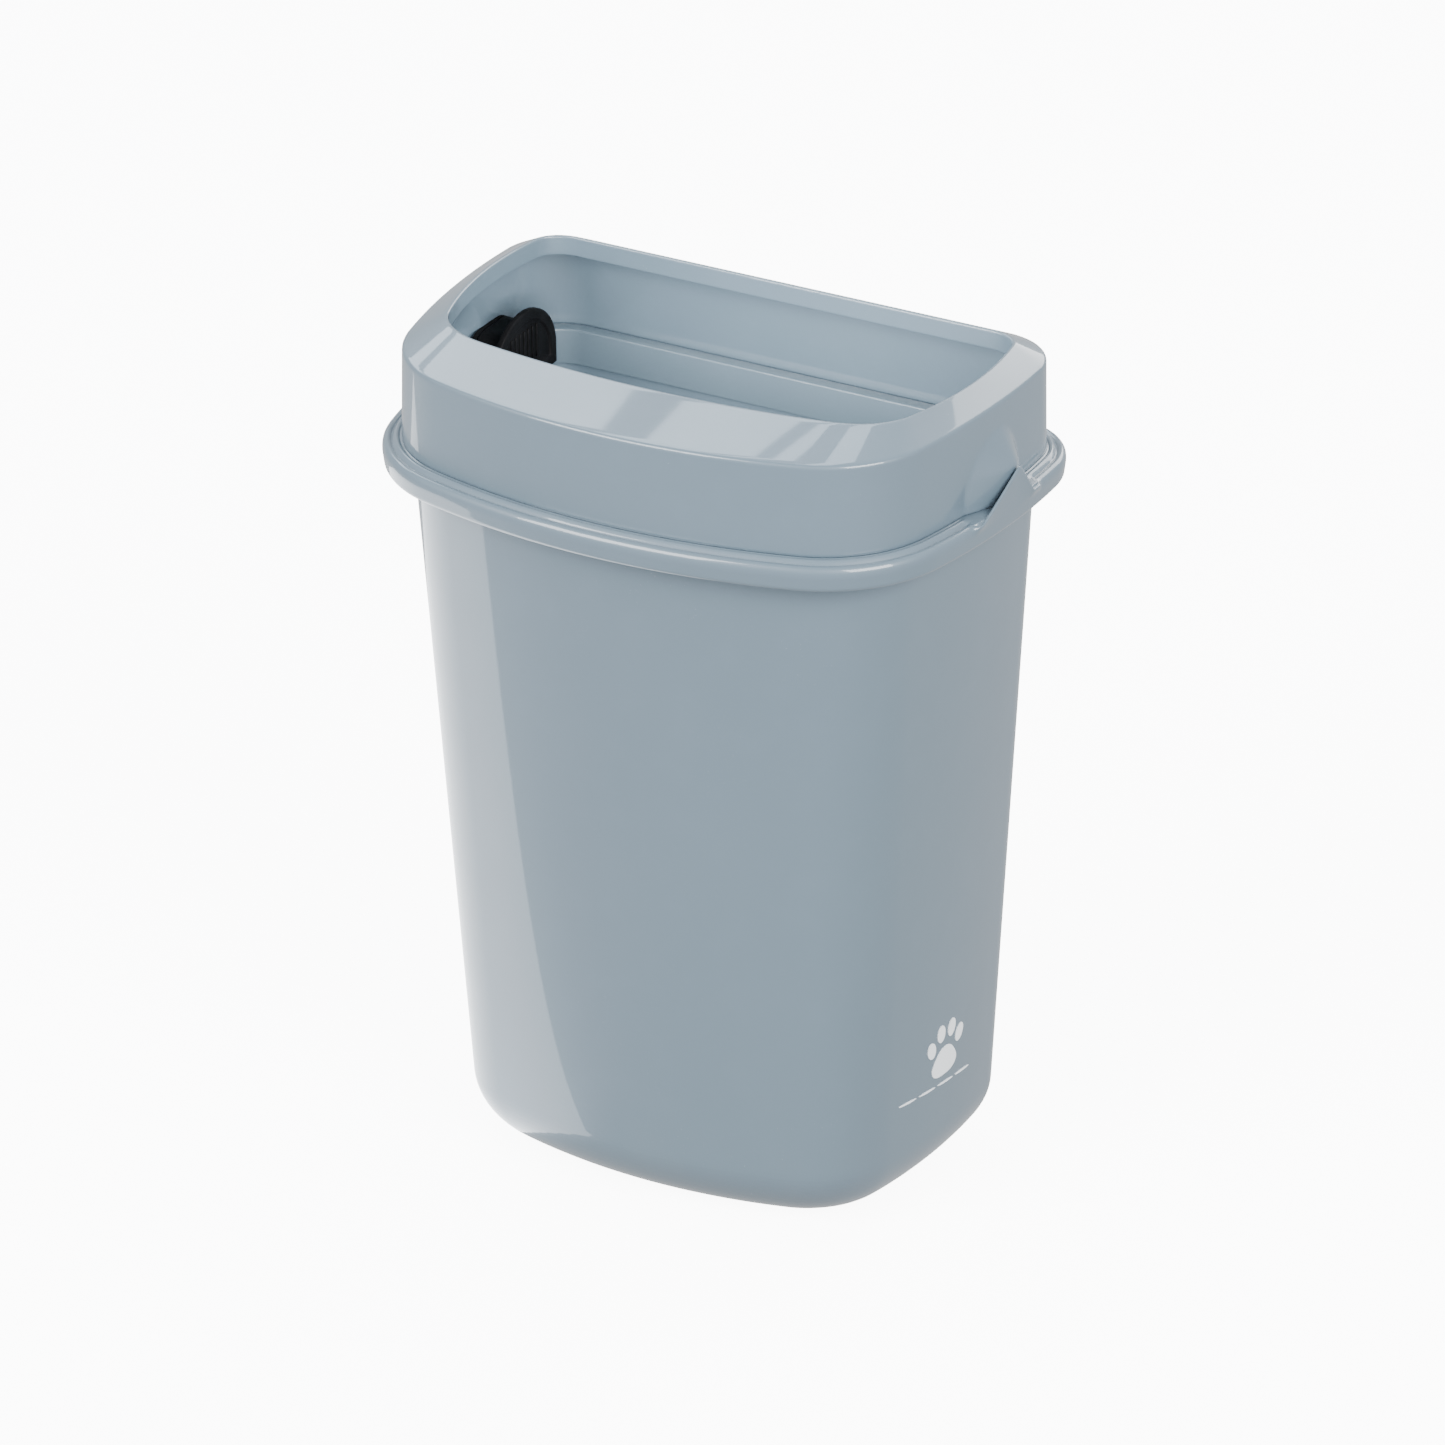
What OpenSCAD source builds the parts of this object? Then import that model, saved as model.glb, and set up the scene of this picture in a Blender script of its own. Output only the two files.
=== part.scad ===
// Free-standing dog waste bin: tapered D-plan tub, lift-off hood with a large open top,
// a loose ring that holds the liner bag, and a clip-in odour cartridge.
// Millimetres. Origin at the middle of the footprint, +Z up, flat back towards +Y.

/* [Hood] */
// Width of the hood across its shoulder
hood_w = 402; // [384:2:420]
// Depth of the hood at its shoulder, back to front
hood_d = 266; // [256:2:276]
// Height of the hood's upright wall
hood_wall_h = 63; // [58:1:70]
// Wall thickness of the hood
hood_t = 3.4; // [3:0.2:4]
// Width of the opening in the top
opening_w = 363; // [350:1:366]
// Depth of the opening in the top
opening_d = 186; // [170:1:190]
// How far the opening's middle lies behind the hood's middle
opening_back = 16.4; // [10:0.2:18]
// Rise of the top band from the shoulder to the opening
band_rise = 11; // [8:1:16]
// Depth of the lip turned down round the opening
lip_h = 14; // [10:1:18]

/* [Tub] */
// Height of the shelf that the hood stands on
shelf_z = 519.7; // [500:0.1:530]
// Wall thickness of the tub
tub_t = 4; // [3.5:0.5:5]
// Step from the hood's shoulder line in to the tub wall below the rim
tub_inset = 6.5; // [6:0.5:8]
// Reach of the rim outside the hood's shoulder line
rim_reach = 14; // [13:0.5:15]
// Side draft of the tub, millimetres per millimetre of height
side_draft = 0.06; // [0.05:0.005:0.07]
// Front draft of the tub, millimetres per millimetre of height
front_draft = 0.07; // [0.05:0.005:0.09]
// Radius of the rounded bottom edge
base_r = 45; // [35:1:50]

/* [Side grips] */
// Ridge of both grips, behind the middle
grip_y = 33; // [25:1:38]
// Width of the swelling in the hood wall, ahead of its ridge
grip_front_w = 43; // [36:1:46]
// Width of the swelling behind its ridge
grip_back_w = 25; // [20:1:32]
// Height of the swelling above the shelf
grip_h = 46; // [40:1:50]
// Height below which the swelling stands out in full
grip_full_h = 22; // [16:1:28]
// How far the swelling stands out
grip_out = 12; // [8:0.5:12]
// Rise of the rim's pointed ear in front of each swelling
ear_rise = 24; // [16:1:28]
// Width of the ear ahead of its tip
ear_front_w = 42; // [30:1:44]
// Width of the ear behind its tip
ear_back_w = 19; // [15:1:24]

/* [Fixing] */
// Distance between the two fixing holes in the back
fixing_pitch = 160; // [120:5:180]
// Height of the fixing holes
fixing_z = 445; // [400:5:460]
// Radius of the bolt hole through each bush
bush_hole_r = 3.25; // [2.75:0.25:4.25]

/* [Hidden] */
$fn = 48;
plastic = [0.58, 0.64, 0.68];
// Arcs of each half outline from the front middle to the back: radii and end headings.
// The D-shape is four tangent arcs and a straight back.
hood_radii = [465, 82, 539, 43];
hood_ends = [16.55, 78.45, 93.85, 180];
opening_radii = [440, 44, 345, 18];
opening_ends = [13.4, 76.5, 98.4, 180];
arc_steps = [5, 7, 24, 6];

// Outward direction of the outline where its tangent has turned by t
function outward(t) = [sin(t), -cos(t)];
function arc_middle(r, e, i) =
    i == 0 ? [0, r[0]] : arc_middle(r, e, i - 1) + (r[i - 1] - r[i]) * outward(e[i - 1]);
// Half outline as [point, outward direction], front middle first
function half_outline(r, e) = [
    for (i = [0:3])
        let (m = arc_middle(r, e, i), from = i == 0 ? 0 : e[i - 1])
            for (k = [(i == 0 ? 0 : 1):arc_steps[i]])
                let (t = from + (e[i] - from) * k / arc_steps[i])
                    [m + r[i] * outward(t), outward(t)]
];
// Whole outline of a given width and depth, its middle at [0, y0]
function outline(r, e, w, d, y0) =
    let (
        half = half_outline(r, e),
        kx = w / 2 / max([for (p = half) p[0].x]),
        ky = d / max([for (p = half) p[0].y]),
        right = [for (p = half) [[p[0].x * kx, p[0].y * ky - d / 2 + y0], p[1]]],
        last = len(right) - 1
    )
    concat(right, [for (i = [last:-1:1]) [[-right[i][0].x, right[i][0].y], [-right[i][1].x, right[i][1].y]]]);

SHOULDER = outline(hood_radii, hood_ends, hood_w, hood_d, 0);
OPENING = outline(opening_radii, opening_ends, opening_w, opening_d, opening_back);
COLUMNS = len(SHOULDER);

seat_gap = 0.3;
shoulder_z = shelf_z + seat_gap + hood_wall_h;
top_z = shoulder_z + band_rise;
back_y = hood_d / 2 - tub_inset;
mouth_half_w = hood_w / 2 - tub_inset;
mouth_d = hood_d - 2 * tub_inset;
// The draft starts below the rim's skirt
draft_z = shelf_z - 12.7;

// Triangles between row i and row i + 1 of a grid of COLUMNS points a row
function strip(i, next) = [
    for (j = [0:COLUMNS - 1])
        let (k = (j + 1) % COLUMNS)
            each [
                [i * COLUMNS + j, next * COLUMNS + j, next * COLUMNS + k],
                [i * COLUMNS + j, next * COLUMNS + k, i * COLUMNS + k]
            ]
];
// Rows joined in a loop, as round a frame
module closed_skin(rows) {
    polyhedron(
        points = [for (row = rows) each row],
        faces = [for (i = [0:len(rows) - 1]) each strip(i, (i + 1) % len(rows))]
    );
}
// Rows joined from the underside of a cup over its rim to its floor
module cup_skin(rows) {
    last = len(rows) - 1;
    polyhedron(
        points = [for (row = rows) each row],
        faces = concat(
            [[for (j = [0:COLUMNS - 1]) j]],
            [for (i = [0:last - 1]) each strip(i, i + 1)],
            [[for (j = [COLUMNS - 1:-1:0]) last * COLUMNS + j]]
        )
    );
}

// ---- Tub ----
// Point of the tub outline moved in by the draft at height z
function drafted(p, z) =
    let (drop = max(0, draft_z - z))
        [
            p.x * (1 - side_draft * drop / mouth_half_w),
            back_y + (p.y - back_y) * (1 - front_draft * drop / mouth_d),
            z
        ];
function tub_row(reach, z) = [for (p = SHOULDER) drafted(p[0] + reach * p[1], z)];
// Share of a grip feature's width at a place: 0 at its ridge, 1 at its front or back end
function share(y, front_w, back_w) = y < grip_y ? (grip_y - y) / front_w : (y - grip_y) / back_w;
// How much of the ear's height, and of its flat foot, there is at a place along the rim
function ear(y) = max(0, 1 - share(y, ear_front_w, ear_back_w));
function foot(y) = max(0, min(1, (grip_y - grip_front_w - 8 - y) / -6, (grip_y + grip_back_w + 8 - y) / 6));
// Rim row: reach and height away from the ears, and at the ears
function rim_row(reach, z, ear_reach, ear_z, rise) = [
    for (p = SHOULDER)
        let (
            side = abs(p[0].x) > hood_w / 3 ? 1 : 0,
            f = foot(p[0].y) * side,
            at = p[0] + (reach + (ear_reach - reach) * f) * p[1]
        )
            [at.x, at.y, z + (ear_z - z) * f + rise * ear(p[0].y) * side]
];
// Rounded bottom edge of radius r, rising from z0 to the wall at a given reach. The rows are
// gathered towards the middle of the base, so that the tight back corners keep their shape.
base_half_w = mouth_half_w - side_draft * draft_z;
base_d = mouth_d - front_draft * draft_z;
base_mid_y = back_y - base_d / 2;
function gathered(q, m) = [
    q.x * (1 - m / base_half_w),
    base_mid_y + (q.y - base_mid_y) * (1 - 2 * m / base_d),
    q.z
];
function base_rows(reach, r, z0, angles) = [
    for (a = angles) [for (q = tub_row(reach, z0 + r * (1 - cos(a)))) gathered(q, r * (1 - sin(a)))]
];
ear_out = 2.4;
tub_rows = concat(
    base_rows(-tub_inset, base_r, 0, [0:15:90]),
    [
        tub_row(-tub_inset, 200),
        tub_row(-tub_inset, 350),
        tub_row(-tub_inset, draft_z),
        tub_row(rim_reach - 4.4, draft_z + 2.6),
        tub_row(rim_reach - 4, shelf_z - 18),
        tub_row(rim_reach - 2.2, shelf_z - 19.2),
        tub_row(rim_reach - 0.9, shelf_z - 17),
        tub_row(rim_reach, shelf_z - 8)
    ],
    [
        rim_row(rim_reach - 0.3, shelf_z - 4.6, rim_reach + ear_out, shelf_z - 3, ear_rise),
        rim_row(rim_reach - 1.4, shelf_z - 2.6, rim_reach + ear_out - 1, shelf_z - 2, ear_rise + 0.8),
        rim_row(rim_reach - 3.2, shelf_z - 1.4, rim_reach + ear_out - 2, shelf_z - 2.2, ear_rise),
        rim_row(rim_reach - 5, shelf_z - 1.7, rim_reach + ear_out - 2.2, shelf_z - 0.2, 0),
        rim_row(rim_reach - 6.3, shelf_z - 2.7, rim_reach - 5, shelf_z, 0),
        rim_row(rim_reach - 7.6, shelf_z - 1, rim_reach - 7, shelf_z, 0),
        rim_row(rim_reach - 9.2, shelf_z + 0.6, rim_reach - 9.2, shelf_z, 0),
        rim_row(rim_reach - 10.8, shelf_z + 0.3, rim_reach - 10.8, shelf_z, 0),
        rim_row(rim_reach - 11.8, shelf_z - 0.4, rim_reach - 11.8, shelf_z, 0)
    ],
    [
        tub_row(rim_reach - 12.2, shelf_z),
        tub_row(-tub_inset - tub_t + 1, shelf_z),
        tub_row(-tub_inset - tub_t, shelf_z - 1),
        tub_row(-tub_inset - tub_t, draft_z),
        tub_row(-tub_inset - tub_t, 350),
        tub_row(-tub_inset - tub_t, 200)
    ],
    base_rows(-tub_inset - tub_t, base_r - tub_t, tub_t, [90:-15:0])
);
boss_r = 13;
bush_r = 5;
boss_face_y = hood_d / 2 + rim_reach;

// Hole along Y through a boss at x
module back_bore(x, r, y0, y1) {
    translate([x, y0, fixing_z]) rotate([-90, 0, 0]) cylinder(r = r, h = y1 - y0);
}
module tub() {
    color(plastic) difference() {
        union() {
            cup_skin(tub_rows);
            for (x = [-1, 1] * fixing_pitch / 2) back_bore(x, boss_r, back_y - 2, boss_face_y);
        }
        for (x = [-1, 1] * fixing_pitch / 2) back_bore(x, bush_r + 0.02, back_y - 20, boss_face_y + 1);
    }
}
// Steel bushes with a wide inner flange, which the fixing bolts clamp
flange_r = 11;
flange_t = 1.6;
module fixing_bushes() {
    inner_y = back_y - tub_t;
    color("silver") for (x = [-1, 1] * fixing_pitch / 2) difference() {
        union() {
            back_bore(x, bush_r, inner_y - flange_t, boss_face_y);
            back_bore(x, flange_r, inner_y - flange_t, inner_y - 0.02);
        }
        back_bore(x, bush_hole_r, inner_y - flange_t - 1, boss_face_y + 1);
    }
}

// ---- Printed mark on the right side: a plain paw over a dashed rule ----
mark_y = 28;
mark_z = 102;
mark_t = 0.5;
// Toes and pads as [along the side, up, radius]
paw = [[0, -4, 11], [-8, -8, 7], [8, -8, 7], [-17, 10, 5.5], [-6, 18, 6], [7, 18, 6], [18, 10, 5.5]];
// The side wall bows away from its widest place by side_bow times the distance squared
widest_y = 40;
side_bow = 0.001;
mark_sunk = 0.45;
// Place on the drafted side wall, facing outwards
module on_side(y, z) {
    ahead = y - widest_y;
    x = mouth_half_w - side_draft * (draft_z - z) - pow(ahead, 2) * side_bow;
    translate([x - mark_sunk, y, z]) rotate([0, 90 + atan(side_draft), atan(2 * ahead * side_bow)]) children();
}
// Dashes of the rule: length, pitch, width and fall
dash = [19, 22, 1.6, 4];
module printed_mark() {
    color("white") {
        on_side(mark_y, mark_z) linear_extrude(mark_t + mark_sunk) union() {
            for (p = paw) translate([-p[1], p[0]]) circle(r = p[2]);
        }
        for (k = [-1.5:1:1.5])
            on_side(mark_y - 8 + k * dash[1], mark_z - 22 - k * dash[1] * tan(dash[3]))
                linear_extrude(mark_t + mark_sunk) rotate(-dash[3]) square([dash[2], dash[0]], center = true);
    }
}

// ---- Ring that clamps the liner bag in the tub's mouth ----
ring_skirt_t = 2.2;
ring_t = 2.1;
ring_skirt_h = 24;
module bag_ring() {
    outer = -hood_t - 1;
    inner = -tub_inset - tub_t - 1.6;
    low = shelf_z + seat_gap;
    rows = [
        tub_row(outer, low),
        tub_row(outer, low + ring_t),
        tub_row(inner - ring_skirt_t, low + ring_t),
        tub_row(inner - ring_skirt_t, low - ring_skirt_h),
        tub_row(inner, low - ring_skirt_h),
        tub_row(inner, low)
    ];
    color(plastic * 0.9) closed_skin(rows);
}

// ---- Hood ----
// How far the hood wall stands out at a place along it, h above the shelf
function swell(y, h) =
    let (
        narrow = sqrt(max(0.0001, 1 - pow(max(0, h) / grip_h, 2))),
        away = share(y, grip_front_w * narrow, grip_back_w * narrow)
    )
        h >= grip_h || away >= 1 ? 0
        : grip_out * min(1, (grip_h - h) / (grip_h - grip_full_h)) * (1 - pow(away, 1.3));
// Row of the hood wall with the grips swelling out of both sides
function wall_row(reach, z) = [
    for (p = SHOULDER)
        let (
            out = abs(p[0].x) > hood_w / 3 ? swell(p[0].y, z - shelf_z - seat_gap) : 0,
            at = p[0] + (reach + out) * p[1]
        )
            [at.x, at.y, z]
];
// Row of the top band: share 0 at the shoulder line, 1 at the opening's edge
function band_row(share, reach, z) = [
    for (j = [0:COLUMNS - 1])
        let (
            a = SHOULDER[j][0] + reach * SHOULDER[j][1],
            b = OPENING[j][0] + reach * OPENING[j][1],
            at = a + (b - a) * share
        )
            [at.x, at.y, z]
];
foot_z = shelf_z + seat_gap;
wall_steps = [0, 11, 22, 28, 34, 39, 43, 46];
function wall_reach(h) = 1 - h / hood_wall_h;
hood_rows = concat(
    [for (h = wall_steps) wall_row(wall_reach(h), foot_z + h)],
    [
        band_row(0, 0, shoulder_z - 3),
        band_row(0, -0.6, shoulder_z - 0.9),
        band_row(0, -2.6, shoulder_z + 0.2),
        band_row(0.5, 1, shoulder_z + band_rise * 0.52),
        band_row(1, 3, top_z - 0.5),
        band_row(1, 1, top_z),
        band_row(1, 0, top_z - 1.2),
        band_row(1, 0.4, top_z - lip_h),
        band_row(1, 2.8, top_z - lip_h),
        band_row(1, 3.6, top_z - hood_t - 0.6),
        band_row(0.5, 0, shoulder_z + band_rise * 0.5 - hood_t),
        band_row(0, -hood_t - 2.4, shoulder_z - hood_t + 0.2),
        band_row(0, -hood_t, shoulder_z - hood_t - 2.6)
    ],
    [for (i = [len(wall_steps) - 1:-1:0]) wall_row(wall_reach(wall_steps[i]) - hood_t, foot_z + wall_steps[i])]
);
module lid_hood() {
    color(plastic) closed_skin(hood_rows);
}

// ---- Odour cartridge on the hood's left inner wall ----
cart_y = [39, 93];
cart_low = foot_z + 3.2;
cart_h = 17;
cart_r = 16.5;
// Round-topped face plate of the cover, which hangs down into the ring's throat
face_w = 84;
face_drop = 22;
face_straight_h = 13;
face_round_h = 39;
face_t = 4;
wall_x = -hood_w / 2 + hood_t - 0.9;
cover_x = [wall_x + 3.6, -170];
cover_t = 2.2;
screw_up = 6;
screw_y = [cart_y[0] + 12, cart_y[1] - 12];
// Arch-topped outline, width by height, its foot on the axis
module arch(w, h, r) {
    intersection() {
        translate([0, -w / 2]) square([h, w]);
        union() {
            translate([0, -w / 2]) square([h - r, w]);
            translate([0, -w / 2 + r]) square([h, w - 2 * r]);
            for (s = [-1, 1]) translate([h - r, s * (w / 2 - r)]) circle(r = r);
        }
    }
}
// A flat shape stood up and pushed along X from x0 to x1
module stood_up(x0, x1, low) {
    translate([x0, (cart_y[0] + cart_y[1]) / 2, low]) rotate([0, -90, 0]) mirror([0, 0, 1])
        linear_extrude(x1 - x0) children();
}
module arch_block(x0, x1, w, low, h, r) {
    stood_up(x0, x1, low) arch(w, h, r);
}
module cartridge_bracket() {
    w = cart_y[1] - cart_y[0];
    color([0.1, 0.1, 0.1]) difference() {
        union() {
            arch_block(wall_x, wall_x + 3, w, cart_low, cart_h, cart_r - 0.5);
            arch_block(wall_x + 2, wall_x + 10, w - 12, cart_low, cart_h - 5, 6);
        }
        for (y = screw_y) translate([wall_x - 1, y, cart_low + screw_up]) rotate([0, 90, 0]) cylinder(r = 1.8, h = 20);
        for (y = screw_y) translate([wall_x + 4, y, cart_low + screw_up]) rotate([0, 90, 0]) cylinder(r = 3.6, h = 20);
    }
}
module bracket_screws() {
    color("silver") for (y = screw_y) translate([wall_x - 1.2, y, cart_low + screw_up]) rotate([0, 90, 0]) difference() {
        union() {
            cylinder(r = 1.75, h = 6);
            translate([0, 0, 5.3]) cylinder(r = 3.3, h = 2.4);
        }
        translate([0, 0, 6.2]) cylinder(r = 1.3, h = 3, $fn = 6);
    }
}
module cartridge_cover() {
    w = cart_y[1] - cart_y[0];
    color([0.06, 0.06, 0.07]) difference() {
        union() {
            arch_block(cover_x[0], cover_x[1] - face_t / 2, w, cart_low, cart_h, cart_r);
            stood_up(cover_x[1] - face_t, cover_x[1], cart_low - face_drop) intersection() {
                translate([face_straight_h, 0]) hull() {
                    scale([face_round_h, face_w / 2]) circle(r = 1, $fn = 72);
                    translate([-face_straight_h, -face_w / 2]) square([face_straight_h, face_w]);
                }
                translate([0, -face_w / 2]) square([face_straight_h + face_round_h, face_w]);
            }
        }
        arch_block(cover_x[0] - 1, cover_x[1] - cover_t, w - 2 * cover_t, cart_low - 1, cart_h - cover_t + 1, cart_r - cover_t);
    }
}
module carbon_pad() {
    pad_w = cart_y[1] - cart_y[0] - 2 * cover_t - 1;
    color([0.15, 0.15, 0.16])
        arch_block(wall_x + 11, cover_x[1] - cover_t, pad_w, cart_low + 0.6, cart_h - cover_t - 1.2, cart_r - cover_t - 1.2);
}

tub();
fixing_bushes();
printed_mark();
bag_ring();
lid_hood();
cartridge_bracket();
bracket_screws();
cartridge_cover();
carbon_pad();
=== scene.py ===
"""Dog waste bin: a tapered D-plan tub, a lift-off hood, a liner ring and an odour cartridge.
The shells are skinned from rows of points that share one outline. Sizes are in millimetres, and become
metres when a mesh is made."""

import math

import bmesh
import bpy
import numpy as np
from mathutils import Matrix, Quaternion, Vector


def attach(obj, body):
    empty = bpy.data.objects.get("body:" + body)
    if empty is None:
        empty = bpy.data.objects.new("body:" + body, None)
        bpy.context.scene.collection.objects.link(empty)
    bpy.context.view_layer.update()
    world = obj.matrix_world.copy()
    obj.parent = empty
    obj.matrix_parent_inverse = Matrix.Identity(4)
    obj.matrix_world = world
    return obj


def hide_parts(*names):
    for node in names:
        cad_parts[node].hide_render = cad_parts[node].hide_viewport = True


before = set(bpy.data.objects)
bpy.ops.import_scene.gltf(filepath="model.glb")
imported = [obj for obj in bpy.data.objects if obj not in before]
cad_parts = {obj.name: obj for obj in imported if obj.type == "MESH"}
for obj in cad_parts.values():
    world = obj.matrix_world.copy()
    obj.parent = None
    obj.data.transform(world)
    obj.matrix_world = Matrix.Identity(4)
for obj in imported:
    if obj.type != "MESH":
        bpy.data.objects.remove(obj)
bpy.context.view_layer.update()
MM = 0.001


# ---- Driving dimensions, in millimetres, as in the CAD model ----
HOOD_W, HOOD_D, HOOD_WALL_H, HOOD_T = 402, 266, 63, 3.4
OPENING_W, OPENING_D, OPENING_BACK = 363, 186, 16.4
BAND_RISE, LIP_H = 11, 14
SHELF_Z, TUB_T, TUB_INSET, RIM_REACH = 519.7, 4, 6.5, 14
SIDE_DRAFT, FRONT_DRAFT, BASE_R = 0.06, 0.07, 45
DRAFT_Z = SHELF_Z - 12.7
GRIP_Y, GRIP_FRONT_W, GRIP_BACK_W, GRIP_H, GRIP_FULL_H, GRIP_OUT = 33, 43, 25, 46, 22, 12
EAR_RISE, EAR_FRONT_W, EAR_BACK_W, EAR_OUT = 24, 42, 19, 2.4
FIXING_PITCH, FIXING_Z, BOSS_R, BUSH_R, BUSH_HOLE_R = 160, 445, 13, 5, 3.25
FOOT_Z = SHELF_Z + 0.3
SHOULDER_Z = FOOT_Z + HOOD_WALL_H
TOP_Z = SHOULDER_Z + BAND_RISE
BACK_Y = HOOD_D / 2 - TUB_INSET
MOUTH_HALF_W = HOOD_W / 2 - TUB_INSET
MOUTH_D = HOOD_D - 2 * TUB_INSET
REAR_Y = HOOD_D / 2 + RIM_REACH
FIXING_PLACES = [(x, 0, FIXING_Z) for x in (-FIXING_PITCH / 2, FIXING_PITCH / 2)]

# Radii and end headings of the arcs of each half outline, front middle first
HOOD_RADII, HOOD_ENDS = (465, 82, 539, 43), (16.55, 78.45, 93.85, 180)
OPENING_RADII, OPENING_ENDS = (440, 44, 345, 18), (13.4, 76.5, 98.4, 180)
ARC_STEPS = (22, 30, 72, 24)
BACK_STEPS = 30


# ---- Outlines ----
def outward(turn):
    """Outward direction where the outline's tangent has turned by so many degrees."""
    a = math.radians(turn)
    return np.array([math.sin(a), -math.cos(a)])


def outline(radii, ends, width, depth, middle_y):
    """Points and outward directions of a D of tangent arcs with a straight back."""
    points, normals = [], []
    middle, start = np.array([0.0, radii[0]]), 0.0
    for i, (radius, end) in enumerate(zip(radii, ends)):
        if i:
            middle = middle + (radii[i - 1] - radius) * outward(start)
        for k in range(1 if i else 0, ARC_STEPS[i] + 1):
            n = outward(start + (end - start) * k / ARC_STEPS[i])
            points.append(middle + radius * n)
            normals.append(n)
        start = end
    points, normals = np.array(points), np.array(normals)
    scale = np.array([width / 2 / points[:, 0].max(), depth / points[:, 1].max()])
    points = points * scale + [0, middle_y - depth / 2]
    flat = np.linspace(1, -1, BACK_STEPS + 1)[1:-1, None]
    back = np.hstack([points[-1, 0] * flat, np.full_like(flat, points[-1, 1])])
    mirror = np.array([-1, 1])
    return (
        np.vstack([points, back, (points * mirror)[:0:-1]]),
        np.vstack([normals, np.tile([0.0, 1.0], (len(back), 1)), (normals * mirror)[:0:-1]]),
    )


SHOULDER, NORMALS = outline(HOOD_RADII, HOOD_ENDS, HOOD_W, HOOD_D, 0)
OPENING, OPENING_NORMALS = outline(OPENING_RADII, OPENING_ENDS, OPENING_W, OPENING_D, OPENING_BACK)
ON_SIDE = np.abs(SHOULDER[:, 0]) > HOOD_W / 3


# ---- Rows of points; each comes with the radius that rounds it off ----
def row3(xy, z):
    return np.column_stack([xy, np.broadcast_to(z, len(xy))])


def tub_row(reach, z):
    drop = max(0, DRAFT_Z - z)
    xy = SHOULDER + reach * NORMALS
    x = xy[:, 0] * (1 - SIDE_DRAFT * drop / MOUTH_HALF_W)
    y = BACK_Y + (xy[:, 1] - BACK_Y) * (1 - FRONT_DRAFT * drop / MOUTH_D)
    return row3(np.column_stack([x, y]), z)


def base_rows(reach, r, z0, angles):
    """The rounded bottom edge, gathered towards the middle of the base."""
    half_w = MOUTH_HALF_W - SIDE_DRAFT * DRAFT_Z
    depth = MOUTH_D - FRONT_DRAFT * DRAFT_Z
    mid_y = BACK_Y - depth / 2
    rows = []
    for a in np.radians(angles):
        row = tub_row(reach, z0 + r * (1 - math.cos(a)))
        m = r * (1 - math.sin(a))
        row[:, 0] *= 1 - m / half_w
        row[:, 1] = mid_y + (row[:, 1] - mid_y) * (1 - 2 * m / depth)
        rows.append(row)
    return rows


def share(front_w, back_w):
    """Share of a grip feature's width along the outline: 0 at its ridge, 1 at either end."""
    away = SHOULDER[:, 1] - GRIP_Y
    return np.where(away < 0, -away / front_w, away / back_w)


def soft(value, tip):
    """A value that comes to a slightly rounded point where it reaches 0."""
    return (np.sqrt(value**2 + tip**2) - tip) / (math.sqrt(1 + tip**2) - tip)


def rim_row(reach, z, ear_reach, ear_z, rise):
    """A row of the ridged rim, which flattens and rises into an ear at each grip."""
    y = SHOULDER[:, 1]
    ends = np.minimum(y - (GRIP_Y - GRIP_FRONT_W - 8), GRIP_Y + GRIP_BACK_W + 8 - y)
    foot = np.clip(ends / 6, 0, 1) * ON_SIDE
    foot = foot * foot * (3 - 2 * foot)
    ear = np.clip(1 - soft(share(EAR_FRONT_W, EAR_BACK_W), 0.05), 0, 1) * ON_SIDE
    xy = SHOULDER + (reach + (ear_reach - reach) * foot)[:, None] * NORMALS
    return row3(xy, z + (ear_z - z) * foot + rise * ear)


def wall_row(reach, z):
    """A row of the hood wall, swelling out over both grips."""
    h = max(0, z - FOOT_Z)
    narrow = math.sqrt(max(1e-6, 1 - (h / GRIP_H) ** 2))
    away = np.clip(soft(share(GRIP_FRONT_W * narrow, GRIP_BACK_W * narrow), 0.05), 0, 1)
    full = min(1, (GRIP_H - h) / (GRIP_H - GRIP_FULL_H)) if h < GRIP_H else 0
    out = GRIP_OUT * full * (1 - away**1.3) * ON_SIDE
    return row3(SHOULDER + (reach + out)[:, None] * NORMALS, z)


def band_row(part, reach, z):
    """A row of the hood's top: part 0 is the shoulder line, 1 the opening's edge."""
    a = SHOULDER + reach * NORMALS
    b = OPENING + reach * OPENING_NORMALS
    return row3(a + (b - a) * part, z)


def rounded(rows, closed):
    """Rows with each corner cut back by its radius and filled with a small arc."""
    done = []
    count = len(rows)
    for i, (row, radius) in enumerate(rows):
        if radius == 0 or (not closed and i in (0, count - 1)):
            done.append(row)
            continue
        before, after = rows[i - 1][0] - row, rows[(i + 1) % count][0] - row
        cuts = []
        for d in (before, after):
            length = np.linalg.norm(d, axis=1, keepdims=True)
            cuts.append(row + d / np.maximum(length, 1e-9) * np.minimum(radius, length * 0.48))
        for t in np.linspace(0, 1, 5):
            done.append(cuts[0] * (1 - t) ** 2 + row * 2 * t * (1 - t) + cuts[1] * t * t)
    return done


def supported(rows, closed, near=1.2, step=14.0):
    """Rows with extra ones beside each corner and along long stretches, so that shading stays even."""
    done = []
    for i, row in enumerate(rows):
        done.append(row)
        if not closed and i == len(rows) - 1:
            break
        after = rows[(i + 1) % len(rows)]
        length = float(np.median(np.linalg.norm(after - row, axis=1)))
        if length < 3 * near:
            continue
        inner = [near / length]
        parts = max(1, round(length / step))
        inner += [k / parts for k in range(1, parts)]
        inner.append(1 - near / length)
        done += [row + (after - row) * t for t in sorted(inner)]
    return done


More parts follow.
